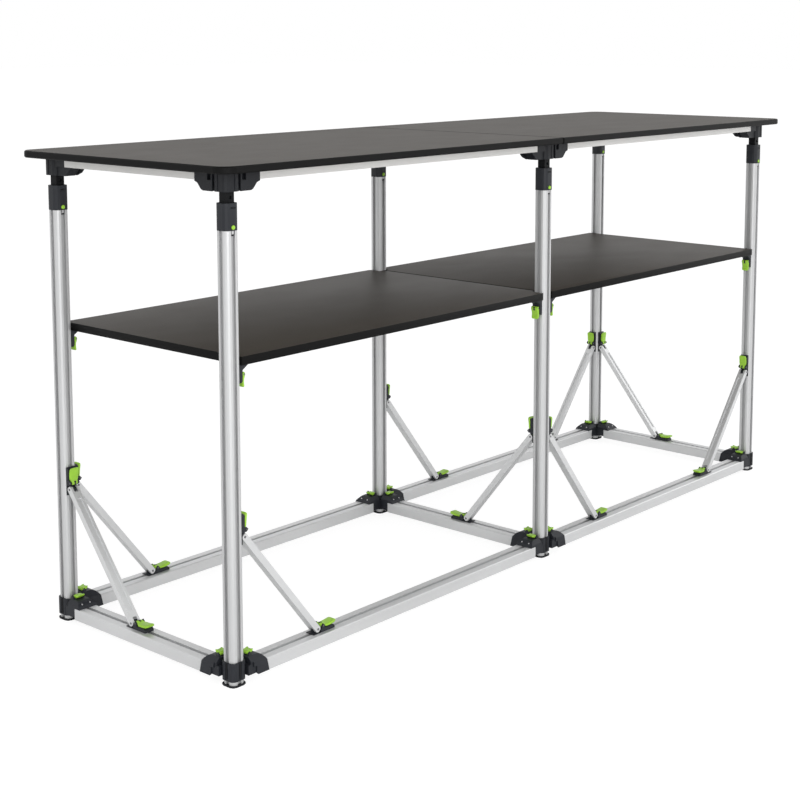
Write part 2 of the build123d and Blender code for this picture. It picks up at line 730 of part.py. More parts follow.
shelf_groups = {
    "shelf_levers_left": [("left_front", EAST), ("left_rear", EAST)],
    "shelf_levers_middle_west": [("middle_front", WEST), ("middle_rear", WEST)],
    "shelf_levers_middle_east": [("middle_front", EAST), ("middle_rear", EAST)],
    "shelf_levers_right": [("right_front", WEST), ("right_rear", WEST)],
}
for group_name, members in shelf_groups.items():
    with BuildPart() as shelf_levers:
        with Locations(*[on_post(post, way) for post, way in members]):
            add(shelf_lever.part)
    write(shelf_levers, group_name)

with BuildPart() as shelf_clamp_bodies:
    for members in shelf_groups.values():
        with Locations(*[on_post(post, way) for post, way in members]):
            add(shelf_clamp.part)
write(shelf_clamp_bodies, "shelf_clamp_bodies")
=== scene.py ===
from math import copysign, cos, radians, sin, tau

import bmesh
import bpy
from bpy.props import FloatProperty, FloatVectorProperty, PointerProperty
from mathutils import Matrix, Vector


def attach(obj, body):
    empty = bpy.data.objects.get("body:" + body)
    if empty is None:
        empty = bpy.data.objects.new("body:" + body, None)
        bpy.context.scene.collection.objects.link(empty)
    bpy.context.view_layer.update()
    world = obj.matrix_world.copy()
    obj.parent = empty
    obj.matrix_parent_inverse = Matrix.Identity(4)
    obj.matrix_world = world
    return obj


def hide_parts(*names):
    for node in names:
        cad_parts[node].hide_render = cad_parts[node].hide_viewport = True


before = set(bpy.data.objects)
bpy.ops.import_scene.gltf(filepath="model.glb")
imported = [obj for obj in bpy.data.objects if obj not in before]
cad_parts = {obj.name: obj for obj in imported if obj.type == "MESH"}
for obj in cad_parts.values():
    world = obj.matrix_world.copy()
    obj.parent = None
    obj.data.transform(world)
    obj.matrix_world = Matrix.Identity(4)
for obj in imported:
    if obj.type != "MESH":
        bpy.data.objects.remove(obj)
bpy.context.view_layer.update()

bl_info = {
    "name": "Knock-down work table",
    "version": (1, 0, 0),
    "blender": (4, 5, 0),
    "location": "View3D > Sidebar > Work Table",
    "description": "Dresses the plug-together work table and sets up its studio stage",
    "category": "Object",
}

# Posts and rails; every size is in metres
POST_X = 0.885
POST_Y = 0.233
POST_FACE = 0.0145
# GROOVE_HALF, RAIL_TOP, SLOT_HALF and SLOT_SKIN also bound the painted light and shade in the grooves and
# slots
GROOVE_HALF = 0.0046
RAIL_TOP = 0.033
SLOT_HALF = 0.0072
SLOT_SKIN = 0.0002

# Braces, their clamps and their levers, in the frame of a post
BRACE_UP = 0.258
BRACE_REACH = 0.198
BRACE_HALF = 0.009
PIVOT_RISE = 0.008
CLAMP_SEAT = 0.0331
CLAMP_HALF = 0.010
LEVER_HINGE = 0.013
LEVER_AXIS = 0.0113
POST_LEVER_SCALE = (0.86, 0.95, 1, 1)
UPRIGHT = Matrix(((0, 0, 1, 0), (0, -1, 0, 0), (1, 0, 0, 0), (0, 0, 0, 1)))
KNUCKLE_MIDDLE = (0.0008, 0, 0.0003)
KNUCKLE_SIZE = (0.0078, 0.0048, 0.0076)
KNUCKLE_SOFTEN = 0.0016

# Latches on the base sockets
LATCH_HINGE = 0.027
LATCH_AXIS = 0.0498
LATCH_SCALE = (0.92, 0.84, 0.95, 1)

# Shelf boards with their clamps and levers
SHELF_UNDERSIDE = 0.5585
SHELF_THICKNESS = 0.015
SHELF_SOFTEN = 0.0006
SHELF_END, SHELF_SEAM, SHELF_SIDE = 0.868, 0.0006, 0.2465
NOTCH_END, NOTCH_SIDE = 0.0158, 0.2173
SHELF_OUTLINE = (
    (SHELF_SEAM, -NOTCH_SIDE), (NOTCH_END, -NOTCH_SIDE), (NOTCH_END, -SHELF_SIDE), (SHELF_END, -SHELF_SIDE),
    (SHELF_END, SHELF_SIDE), (NOTCH_END, SHELF_SIDE), (NOTCH_END, NOTCH_SIDE), (SHELF_SEAM, NOTCH_SIDE),
)
SHELF_HINGE_OUT = 0.0258
SHELF_HINGE_UP = 0.5415
SHELF_EAR_HALF = 0.0089
HANGING = Matrix(((0, 0, 1, 0), (0, 1, 0, 0), (-1, 0, 0, 0), (0, 0, 0, 1)))
SHELF_CLAMP_WIDTH = 0.02
SHELF_CLAMP_OUTLINE = (
    (POST_FACE, 0.5275), (0.0195, 0.5275), (0.0215, 0.5305), (0.0215, 0.5495), (0.034, 0.5575),
    (0.034, 0.5583), (POST_FACE, 0.5583),
)

# Leg heads with their buttons, clips and slots; the slots and the backs of the clips are near-black blocks
# of painted shade
HEAD_BOTTOM = 0.789
BUTTON_UP = 0.7946
BUTTON_RADIUS = 0.0038
BUTTON_MIDDLE = 0.0148
BUTTON_LENGTH = 0.004
CLIP_OUT = 0.0132
CLIP_SIZE = (0.0045, 0.002, 0.006)
CLIP_SOFTEN = 0.0004
# Painted shade: a dark plate in the recess behind each clip, and a dark block in the slot of each head
CLIP_BACK_MIDDLE = (0.0125, 0, 0.7845)
CLIP_BACK_SIZE = (0.0008, 0.0072, 0.0085)
HEAD_SLOT_MIDDLE = (0.01495, 0, 0.8275)
HEAD_SLOT_SIZE = (0.0004, 0.0055, 0.0024)

# Pin heads, the screws on the hoods and the slits of the sockets; the slits are near-black blocks of
# painted shade
PIVOT_HEAD = 0.0022
EAR_HEAD = 0.0016
PIN_HEAD_THICKNESS = 0.0008
HEAD_SEGMENTS = 20
RIM_SHARE = 0.3
# The pale steel of the hood screws is partly a painted highlight: the glint of light on the lower edge of
# each screw recess
SCREW_REACH = 0.0523
SCREW_APART = 0.009
SCREW_HEIGHT = 0.0405
SCREW_SLOPE = (0.686, 0.728)
SCREW_RADIUS = 0.0016
SCREW_HEAD = 0.0008
SLIT_MIDDLE = (0.0167, 0, 0.0275)
SLIT_SIZE = (0.0004, 0.0026, 0.029)
SLIT_SOFTEN = 0.0001

# Rings of the lofted levers, and the angle above which an edge stays sharp
RING_POINTS = 24
RING_POWER = 0.5
SHARP_ANGLE = radians(35)

# Finishes: shades of the main colours, among them painted light and shade in the hollows, on the posts, on
# the top rails and in the recesses, ranges of roughness, and noise scales per metre
# Painted light and shade in the hollows: below one darkens the post grooves as painted shade, above one
# lightens the shaded rail slots as painted light
HOLLOW_PAINTED_SHADING = {"post": 0.8, "long": 1.05, "cross": 1.05}
# Painted shade: the posts are a darker copy of the rail aluminium, to offset the stronger light falling on
# them
UPRIGHT_PAINTED_SHADE = 0.88
# Painted shade and reflection: the top rails are a darker, warmer copy of the same aluminium, for the shade
# and the reflected dark top above them
RAIL_PAINTED_SHADE = {"base": (1.0, 1.0, 1.0), "top": (0.92, 0.905, 0.88)}
STEEL = (0.16, 0.16, 0.17)
BRIGHT_STEEL = (0.62, 0.62, 0.63)
DRAW_ALONG, DRAW_ACROSS, SLANTED_GRAIN = 60.0, 2600.0, 900.0
METAL_SHARE = 0.7
METAL_ROUGHNESS = (0.46, 0.58)
METAL_BUMP = (0.00003, 0.12)
CONNECTOR_SHADE = 0.62
NECK_SHADE = 0.2
FOOT_SHADE = 0.5
# Painted shade: the near-black of the slits, slots and clip recesses
RECESS_PAINTED_SHADE = 0.12
MOULDED_GRAIN = 0.0006
LEVER_GRAIN = 0.0008
MOULDED_ROUGHNESS = (0.42, 0.58)
UPPER_ROUGHNESS = (0.45, 0.6)
FOOT_ROUGHNESS = (0.55, 0.7)
RECESS_ROUGHNESS = (0.6, 0.75)
LEVER_ROUGHNESS = (0.3, 0.42)
MOULDED_BUMP = (0.00006, 0.25)
MOULDED_SHINE, CONNECTOR_SHINE, NECK_SHINE = 0.34, 0.3, 0.15
BOARD_SPECKLE = 1100.0
BOARD_CLOUD = (9.0, 14.0, 9.0)
BOARD_ROUGHNESS = (0.50, 0.53)
BOARD_SHINE = 0.12
BOARD_BUMP = (0.00008, 0.35)
FLAT_FROM, FLAT_TO = 0.94, 0.99
# Half width of the painted shade along the board seam, where the rounded edges of both boards fall in shade
SEAM_SHADE_HALF = 0.003

# Studio
FLOOR_SIZE = 40.0
FLOOR_GLOW = 0.8
FLOOR_LEVEL = 1.12
FLOOR_ROUGHNESS = 0.9
HORIZON_LIGHT = 1.2
ZENITH_LIGHT = 0.55
LAMPS = (("key", (-2.4, -3.2, 1.5), 48.0, 2.6), ("side", (3.2, -1.6, 1.6), 16.0, 2.0))
LAMP_AIM = Vector((0, 0, 0.45))
SENSOR_WIDTH = 36.0
CLIP_END = 100.0

# Posts by place, and the headings in degrees of what leaves them
POSTS = {
    "left_front": (-POST_X, -POST_Y),
    "left_rear": (-POST_X, POST_Y),
    "middle_front": (0.0, -POST_Y),
    "middle_rear": (0.0, POST_Y),
    "right_front": (POST_X, -POST_Y),
    "right_rear": (POST_X, POST_Y),
}
EAST, NORTH, WEST, SOUTH = 0, 90, 180, 270
ARMS = {
    "left_front": (EAST, NORTH),
    "left_rear": (EAST, SOUTH),
    "middle_front": (WEST, EAST, NORTH),
    "middle_rear": (WEST, EAST, SOUTH),
    "right_front": (WEST, NORTH),
    "right_rear": (WEST, SOUTH),
}
BRACES = {
    "long_brace_left": (("left_rear", EAST), ("left_front", EAST)),
    "long_brace_middle": (("middle_rear", EAST), ("middle_front", EAST)),
    "long_brace_right": (("right_rear", WEST), ("right_front", WEST)),
    "cross_brace_outer": (("left_rear", SOUTH), ("right_rear", SOUTH)),
    "cross_brace_middle": (("middle_front", NORTH),),
}
LATCHES = {
    "rail_latches_left": (("left_front", EAST), ("left_rear", EAST)),
    "rail_latches_middle_west": (("middle_front", WEST), ("middle_rear", WEST)),
    "rail_latches_middle_east": (("middle_front", EAST), ("middle_rear", EAST)),
    "rail_latches_right": (("right_front", WEST), ("right_rear", WEST)),
    "rail_latches_front": (("left_front", NORTH), ("middle_front", NORTH), ("right_front", NORTH)),
    "rail_latches_rear": (("left_rear", SOUTH), ("middle_rear", SOUTH), ("right_rear", SOUTH)),
}
SHELF_LEVERS = {
    "shelf_levers_left": (("left_front", EAST), ("left_rear", EAST)),
    "shelf_levers_middle_west": (("middle_front", WEST), ("middle_rear", WEST)),
    "shelf_levers_middle_east": (("middle_front", EAST), ("middle_rear", EAST)),
    "shelf_levers_right": (("right_front", WEST), ("right_rear", WEST)),
}

# Cross-sections of the levers in millimetres from the hinge: reach, half width, floor, roof, notch
MILLIMETRE = 0.001
LEVER_SECTIONS = (
    (-3.9, 5.5, -1.2, 1.2, 0), (-3.4, 6.6, -2.4, 2.4, 0), (-2.0, 6.9, -3.4, 3.5, 0),
    (0.5, 7.0, -3.8, 3.8, 0), (4.0, 7.2, -3.7, 2.8, 0), (6.5, 8.4, -3.7, 1.4, 0),
    (8.5, 9.6, -3.8, 1.2, 0), (14.0, 9.9, -3.8, 1.3, 0), (22.0, 9.9, -3.7, 2.2, 0),
    (28.0, 9.8, -3.0, 3.2, 0), (31.5, 9.2, -1.6, 3.4, 0), (33.2, 7.8, -0.2, 2.8, 0),
    (33.7, 6.0, 0.6, 2.1, 0),
)
SHELF_LEVER_SECTIONS = (
    (-3.9, 7.5, -1.2, 1.2, 0), (-3.2, 8.6, -2.4, 2.4, 0), (-1.5, 8.9, -3.5, 3.5, 0),
    (1.0, 9.0, -3.8, 3.8, 0), (4.5, 8.9, -3.7, 2.6, 0), (7.5, 8.8, -3.8, 1.2, 0),
    (13.0, 8.7, -3.8, 0.5, 0), (18.0, 8.7, -3.6, 1.2, 0), (20.5, 8.3, -2.6, 1.9, 0),
    (22.0, 7.2, -1.2, 1.5, 0), (22.6, 5.8, -0.4, 0.9, 0),
)
LATCH_SECTIONS = (
    (-3.4, 8.5, -1.2, 1.2, 0), (-2.8, 9.6, -2.2, 2.2, 0), (-1.2, 9.9, -3.2, 3.3, 0),
    (1.0, 9.9, -3.4, 3.4, 0), (6.0, 9.9, -3.2, 3.3, 0.5), (9.0, 9.8, -1.6, 4.2, 1.5),
    (11.5, 9.3, 0.0, 5.1, 3.0), (12.7, 8.2, 1.4, 5.2, 4.2), (12.95, 6.5, 2.2, 4.6, 4.8),
)


class TableFinishes(bpy.types.PropertyGroup):
    """Colours of the table's finishes."""
    aluminium: FloatVectorProperty(
        name="Aluminium", description="Anodised extrusions", subtype="COLOR",
        size=3, min=0, max=1, default=(0.74, 0.745, 0.75))
    moulding: FloatVectorProperty(
        name="Moulding", description="Dark joints and clamps", subtype="COLOR",
        size=3, min=0, max=1, default=(0.016, 0.018, 0.023))
    lever: FloatVectorProperty(
        name="Lever", description="Green levers, latches and buttons", subtype="COLOR",
        size=3, min=0, max=1, default=(0.33, 0.62, 0.05))
    board: FloatVectorProperty(
        name="Board", description="Face of the boards", subtype="COLOR",
        size=3, min=0, max=1, default=(0.060, 0.052, 0.043))
    # Also the colour of the painted shade along the seam of the boards
    board_edge_and_seam_shade: FloatVectorProperty(
        name="Board edge", description="Edges of the boards", subtype="COLOR",
        size=3, min=0, max=1, default=(0.004, 0.004, 0.004))
    floor: FloatVectorProperty(
        name="Floor", description="Studio floor", subtype="COLOR",
        size=3, min=0, max=1, default=(0.95, 0.95, 0.95))


class TableView(bpy.types.PropertyGroup):
    """Where the photograph was taken from."""
    place: FloatVectorProperty(
        name="Place", description="Camera position", subtype="TRANSLATION", unit="LENGTH",
        size=3, default=(-2.6005, -2.1396, 1.1130))
    heading: FloatProperty(
        name="Heading", description="Turn from the rear towards the right", subtype="ANGLE",
        unit="ROTATION", default=radians(48.4171))
    tilt: FloatProperty(
        name="Tilt", description="Downward tilt", subtype="ANGLE", unit="ROTATION",
        default=radians(7.0272))
    roll: FloatProperty(
        name="Roll", description="Turn about the line of sight", subtype="ANGLE",
        unit="ROTATION", default=radians(-0.0806))
    lens: FloatProperty(
        name="Lens", description="Focal length on a 36 mm sensor in millimetres", default=69.5315)
    rise: FloatProperty(
        name="Rise", description="Vertical lens shift", default=-0.22)


def new_material(name):
    """A node material with its shader, and the texture coordinates of the object."""
    material = bpy.data.materials.new(name)
    material.use_nodes = True
    tree = material.node_tree
    shader = tree.nodes["Principled BSDF"]
    place = tree.nodes.new("ShaderNodeTexCoord")
    return material, tree, shader, place


def stretched_noise(tree, place, scale, detail=3.0, roughness=0.5):
    """Noise on the object's own coordinates, stretched by a scale for each axis."""
    mapping = tree.nodes.new("ShaderNodeMapping")
    mapping.inputs["Scale"].default_value = scale
    noise = tree.nodes.new("ShaderNodeTexNoise")
    noise.inputs["Scale"].default_value = 1.0
    noise.inputs["Detail"].default_value = detail
    noise.inputs["Roughness"].default_value = roughness
    tree.links.new(place.outputs["Object"], mapping.inputs["Vector"])
    tree.links.new(mapping.outputs["Vector"], noise.inputs["Vector"])
    return noise


def spread(tree, noise, low, high):
    """Map the middle of a noise onto a range of values."""
    ramp = tree.nodes.new("ShaderNodeMapRange")
    ramp.inputs["From Min"].default_value = 0.3
    ramp.inputs["From Max"].default_value = 0.7
    ramp.inputs["To Min"].default_value = low
    ramp.inputs["To Max"].default_value = high
    tree.links.new(noise.outputs["Fac"], ramp.inputs["Value"])
    return ramp.outputs["Result"]


def tinted(tree, noise, colour, low, high):
    """A colour that wanders between two brightnesses of itself."""
    mix = tree.nodes.new("ShaderNodeMix")
    mix.data_type = "RGBA"
    mix.inputs["A"].default_value = (*[c * low for c in colour], 1)
    mix.inputs["B"].default_value = (*[min(c * high, 1) for c in colour], 1)
    tree.links.new(spread(tree, noise, 0, 1), mix.inputs["Factor"])
    return mix.outputs["Result"]


def grain(tree, shader, noise, bump_values):
    """Bump from a noise, with a distance and a strength."""
    distance, strength = bump_values
    bump = tree.nodes.new("ShaderNodeBump")
    bump.inputs["Distance"].default_value = distance
    bump.inputs["Strength"].default_value = strength
    tree.links.new(noise.outputs["Fac"], bump.inputs["Height"])
    tree.links.new(bump.outputs["Normal"], shader.inputs["Normal"])


def compare(tree, value, limit):
    """One where a value is below a limit."""
    test = tree.nodes.new("ShaderNodeMath")
    test.operation = "LESS_THAN"
    tree.links.new(value, test.inputs[0])
    test.inputs[1].default_value = limit
    return test.outputs["Value"]


def combine(tree, first, second, operation):
    """Two values joined by an operation."""
    join = tree.nodes.new("ShaderNodeMath")
    join.operation = operation
    tree.links.new(first, join.inputs[0])
    tree.links.new(second, join.inputs[1])
    return join.outputs["Value"]


def off_axis(tree, axes, axis, offset, half_pitch):
    """Distance from the nearest of a row of evenly spaced centre lines."""
    moved = tree.nodes.new("ShaderNodeMath")
    moved.inputs[1].default_value = offset
    tree.links.new(axes.outputs[axis], moved.inputs[0])
    wrapped = tree.nodes.new("ShaderNodeMath")
    wrapped.operation = "WRAP"
    tree.links.new(moved.outputs["Value"], wrapped.inputs[0])
    wrapped.inputs[1].default_value = half_pitch
    wrapped.inputs[2].default_value = -half_pitch
    size = tree.nodes.new("ShaderNodeMath")
    size.operation = "ABSOLUTE"
    tree.links.new(wrapped.outputs["Value"], size.inputs[0])
    return size.outputs["Value"]


def painted_hollow_mask(tree, place, kind):
    """One at the grooves of the posts or in the slot of a base rail, where light and shade are painted into
    the colour.
    """
    axes = tree.nodes.new("ShaderNodeSeparateXYZ")
    tree.links.new(place.outputs["Object"], axes.inputs["Vector"])
    across_x = off_axis(tree, axes, "X", 0.0, POST_X / 2)
    across_y = off_axis(tree, axes, "Y", POST_Y, POST_Y)
    if kind == "post":
        return compare(tree, combine(tree, across_x, across_y, "MINIMUM"), GROOVE_HALF)
    low = compare(tree, axes.outputs["Z"], RAIL_TOP - SLOT_SKIN)
    inside = compare(tree, across_y if kind == "long" else across_x, SLOT_HALF)
    return combine(tree, low, inside, "MULTIPLY")


def anodised(name, colour, along, hollow=None):
    """Satin anodised extrusion with fine draw lines along one direction, with painted shade darkening the
    post grooves and painted light lifting the shaded floor of the rail slots.
    """
    material, tree, shader, place = new_material(name)
    lines = [SLANTED_GRAIN] * 3 if sum(along) > 1 else [DRAW_ALONG if a else DRAW_ACROSS for a in along]
    fine = stretched_noise(tree, place, lines, detail=2.0)
    broad = stretched_noise(tree, place, (3.0, 3.0, 3.0), detail=2.0)
    shader.inputs["Metallic"].default_value = METAL_SHARE
    shader.inputs["Specular IOR Level"].default_value = 0.5
    shade = tinted(tree, broad, colour, 0.96, 1.04)
    # Painted shade in the post grooves, painted light in the rail slots
    if hollow:
        mix = tree.nodes.new("ShaderNodeMix")
        mix.data_type = "RGBA"
        mix.inputs["B"].default_value = (*[min(c * HOLLOW_PAINTED_SHADING[hollow], 1) for c in colour], 1)
        tree.links.new(shade, mix.inputs["A"])
        tree.links.new(painted_hollow_mask(tree, place, hollow), mix.inputs["Factor"])
        shade = mix.outputs["Result"]
    tree.links.new(shade, shader.inputs["Base Color"])
    tree.links.new(spread(tree, fine, *METAL_ROUGHNESS), shader.inputs["Roughness"])
    grain(tree, shader, fine, METAL_BUMP)
    return material


def moulded(name, colour, roughness, grain_size=MOULDED_GRAIN, shine=MOULDED_SHINE):
    """Moulded plastic with a fine spark-eroded grain and a slight change of shade."""
    material, tree, shader, place = new_material(name)
    fine = stretched_noise(tree, place, (1 / grain_size,) * 3, detail=3.0)
    broad = stretched_noise(tree, place, (25.0,) * 3, detail=2.0)
    shader.inputs["Specular IOR Level"].default_value = shine
    tree.links.new(tinted(tree, broad, colour, 0.9, 1.12), shader.inputs["Base Color"])
    tree.links.new(spread(tree, fine, *roughness), shader.inputs["Roughness"])
    grain(tree, shader, fine, MOULDED_BUMP)
    return material


def laminate(name, face_colour, edge_and_seam_shade):
    """Board face with a fine speckled texture; its sides carry a darker edge colour, and the same colour is
    painted as shade in a band along the seam.
    """
    material, tree, shader, place = new_material(name)
    speckle = stretched_noise(tree, place, (BOARD_SPECKLE,) * 3, detail=4.0, roughness=0.7)
    cloud = stretched_noise(tree, place, BOARD_CLOUD, detail=3.0)
    face = tinted(tree, speckle, face_colour, 0.75, 1.35)
    up = tree.nodes.new("ShaderNodeSeparateXYZ")
    surface = tree.nodes.new("ShaderNodeNewGeometry")
    tree.links.new(surface.outputs["True Normal"], up.inputs["Vector"])
    flat = tree.nodes.new("ShaderNodeMath")
    flat.operation = "ABSOLUTE"
    tree.links.new(up.outputs["Z"], flat.inputs[0])
    step = tree.nodes.new("ShaderNodeMapRange")
    step.inputs["From Min"].default_value = FLAT_FROM
    step.inputs["From Max"].default_value = FLAT_TO
    tree.links.new(flat.outputs["Value"], step.inputs["Value"])
    mix = tree.nodes.new("ShaderNodeMix")
    mix.data_type = "RGBA"
    mix.inputs["A"].default_value = (*edge_and_seam_shade, 1)
    axes = tree.nodes.new("ShaderNodeSeparateXYZ")
    tree.links.new(place.outputs["Object"], axes.inputs["Vector"])
    # Painted shade: a dark, fully rough band along the seam between the boards
    seam = compare(tree, off_axis(tree, axes, "X", 0.0, POST_X), SEAM_SHADE_HALF)
    tree.links.new(combine(tree, step.outputs["Result"], seam, "SUBTRACT"), mix.inputs["Factor"])
    tree.links.new(face, mix.inputs["B"])
    tree.links.new(mix.outputs["Result"], shader.inputs["Base Color"])
    rough = combine(tree, spread(tree, cloud, *BOARD_ROUGHNESS), seam, "MAXIMUM")
    tree.links.new(rough, shader.inputs["Roughness"])
    shader.inputs["Specular IOR Level"].default_value = BOARD_SHINE
    grain(tree, shader, speckle, BOARD_BUMP)
    return material


def paint(node, material):
    """Give a CAD node a single finish."""
    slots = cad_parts[node].data.materials
    slots.clear()
    slots.append(material)


def on_post(post, heading):
    """Matrix of the floor under a post, with X outwards along a heading."""
    x, y = POSTS[post]
    return Matrix.Translation((x, y, 0)) @ Matrix.Rotation(radians(heading), 4, "Z")


def finish_piece(bm, name, body, material, nodes=()):
    """Turn a bmesh into a finished piece that rides on a body."""
    bmesh.ops.recalc_face_normals(bm, faces=bm.faces[:])
    mesh = bpy.data.meshes.new(name)
    bm.to_mesh(mesh)
    bm.free()
    mesh.materials.append(material)
    mesh.shade_smooth()
    mesh.set_sharp_from_angle(angle=SHARP_ANGLE)
    piece = bpy.data.objects.new(name, mesh)
    bpy.context.scene.collection.objects.link(piece)
    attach(piece, body)
    if nodes:
        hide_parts(*nodes)
    return piece


def section(bm, reach, half_width, floor, roof, notch):
    """A soft rectangular ring across X, with its middle drawn back by a notch."""
    middle, rise = (floor + roof) / 2, (roof - floor) / 2
    ring = []
    for step in range(RING_POINTS):
        angle = tau * step / RING_POINTS
        side = copysign(abs(cos(angle)) ** RING_POWER, cos(angle))
        lift = copysign(abs(sin(angle)) ** RING_POWER, sin(angle))
        back = notch * (1 - abs(side))
        dip = min(back, rise) * (lift > 0)
        point = Vector((reach - back, half_width * side, middle + rise * lift - dip))
        ring.append(bm.verts.new(point * MILLIMETRE))
    return ring


def lofted(sections):
    """A closed skin through cross-sections, as a bmesh with its hinge at the origin."""
    bm = bmesh.new()
    rings = [section(bm, *values) for values in sections]
    for near, far in zip(rings, rings[1:]):
        for i in range(RING_POINTS):
            j = (i + 1) % RING_POINTS
            bm.faces.new((near[i], near[j], far[j], far[i]))
    bm.faces.new(rings[0])
    bm.faces.new(rings[-1])
    return bm


def soften(bm, edges, width):
    """Round a set of edges a little."""
    bmesh.ops.bevel(bm, geom=edges, offset=width, offset_type="OFFSET", segments=2, profile=0.5,
                    affect="EDGES", material=-1, clamp_overlap=True)


def extruded(points, travel, soft_width):
    """A flat outline drawn out along a vector, with every edge softened, as a bmesh."""
    bm = bmesh.new()
    made = bmesh.ops.extrude_face_region(bm, geom=[bm.faces.new([bm.verts.new(point) for point in points])])
    moved = [v for v in made["geom"] if isinstance(v, bmesh.types.BMVert)]
    bmesh.ops.translate(bm, vec=travel, verts=moved)
    soften(bm, bm.edges[:], soft_width)
    return bm


def disc(bm, centre, axis, radius, thickness):
    """A small round head with a softened rim."""
    turn = Vector((0, 0, 1)).rotation_difference(Vector(axis)).to_matrix().to_4x4()
    made = bmesh.ops.create_cone(
        bm, cap_ends=True, segments=HEAD_SEGMENTS, radius1=radius, radius2=radius, depth=thickness,
        matrix=Matrix.Translation(centre) @ turn)
    verts = set(made["verts"])
    rims = [e for e in bm.edges if e.verts[0] in verts and e.verts[1] in verts
            and len(e.link_faces) == 2 and max(len(f.verts) for f in e.link_faces) > 4]
    soften(bm, rims, thickness * RIM_SHARE)


def block(bm, centre, size, soft_width):
    """A small box with softened edges."""
    made = bmesh.ops.create_cube(
        bm, size=1.0, matrix=Matrix.Translation(centre) @ Matrix.Diagonal((*size, 1)))
    verts = set(made["verts"])
    edges = [e for e in bm.edges if e.verts[0] in verts and e.verts[1] in verts]
    soften(bm, edges, soft_width)


def pin_heads(bm, place, x, z, half_width, radius):
    """A pin's two ends on the side faces of a piece in the frame of a post."""
    across = place.to_3x3() @ Vector((0, 1, 0))
    for side in (-1, 1):
        disc(bm, place @ Vector((x, side * half_width, z)), across, radius, PIN_HEAD_THICKNESS)


def copies(bm, shape, places):
    """Add a shape to a bmesh at each place."""
    for place in places:
        copy = shape.copy()
        copy.transform(place)
        mesh = bpy.data.meshes.new("copy")
        copy.to_mesh(mesh)
        copy.free()
        bm.from_mesh(mesh)
        bpy.data.meshes.remove(mesh)


class TABLE_OT_finish_extrusions(bpy.types.Operator):
    """Give the posts, rails and braces their anodised finish"""
    bl_idname = "work_table.finish_extrusions"
    bl_label = "Finish Extrusions"

    def execute(self, context):
        colour = tuple(context.scene.table_finishes.aluminium)
        # Painted shade: a darker copy of the same aluminium for the posts
        upright = anodised("anodised_upright", [c * UPRIGHT_PAINTED_SHADE for c in colour], (0, 0, 1), "post")
        slanted_long = anodised("anodised_slanted_long", colour, (1, 0, 1))
        slanted_cross = anodised("anodised_slanted_cross", colour, (0, 1, 1))
        for post in POSTS:
            paint(f"post_{post}", upright)
        # The top rails take painted shade, the base rails none
        for level, rail_shade in RAIL_PAINTED_SHADE.items():
            tone = [c * share for c, share in zip(colour, rail_shade)]
            paint(f"{level}_rails_long", anodised(f"anodised_{level}_lengthways", tone, (1, 0, 0), "long"))
            paint(f"{level}_rails_cross", anodised(f"anodised_{level}_crossways", tone, (0, 1, 0), "cross"))
        for name in BRACES:
            paint(f"{name}_tubes", slanted_long if name.startswith("long") else slanted_cross)
        pin = anodised("pin_steel", STEEL, (0, 0, 1))
        for name in BRACES:
            paint(f"{name}_pins", pin)
        return {"FINISHED"}


class TABLE_OT_finish_mouldings(bpy.types.Operator):
    """Give the joints, necks, feet and brace clamps their moulded plastic"""
    bl_idname = "work_table.finish_mouldings"
    bl_label = "Finish Mouldings"

    def execute(self, context):
        colour = tuple(context.scene.table_finishes.moulding)
        dark = moulded("anthracite_moulding", colour, MOULDED_ROUGHNESS)
        upper = moulded("connector_moulding", [c * CONNECTOR_SHADE for c in colour], UPPER_ROUGHNESS,
                        shine=CONNECTOR_SHINE)
        neck = moulded("neck_moulding", [c * NECK_SHADE for c in colour], UPPER_ROUGHNESS, shine=NECK_SHINE)
        foot = moulded("foot_moulding", [c * FOOT_SHADE for c in colour], FOOT_ROUGHNESS)
        for node in ("base_sockets_corner", "base_sockets_middle", "leg_heads", "brace_post_clamps"):
            paint(node, dark)
        for node in ("top_connectors_corner", "top_connectors_middle"):
            paint(node, upper)
        paint("telescopic_necks", neck)
        paint("foot_pads", foot)
        for name in BRACES:
            paint(f"{name}_rail_clamps", dark)
        return {"FINISHED"}


class TABLE_OT_build_shelf_clamps(bpy.types.Operator):
    """Build the clamp plates that carry the shelf, each with a gusset under the board"""
    bl_idname = "work_table.build_shelf_clamps"
    bl_label = "Build Shelf Clamps"

    def execute(self, context):
        dark = moulded("clamp_moulding", tuple(context.scene.table_finishes.moulding), MOULDED_ROUGHNESS)
        half = SHELF_CLAMP_WIDTH / 2
        outline = [(x, -half, z) for x, z in SHELF_CLAMP_OUTLINE]
        plate = extruded(outline, (0, SHELF_CLAMP_WIDTH, 0), SHELF_SOFTEN)
        clamps = bmesh.new()
        for members in SHELF_LEVERS.values():
            copies(clamps, plate, [on_post(*member) for member in members])
        plate.free()
        finish_piece(clamps, "shelf_clamps_dressed", "frame", dark,
                     ["shelf_clamp_bodies"])
        return {"FINISHED"}


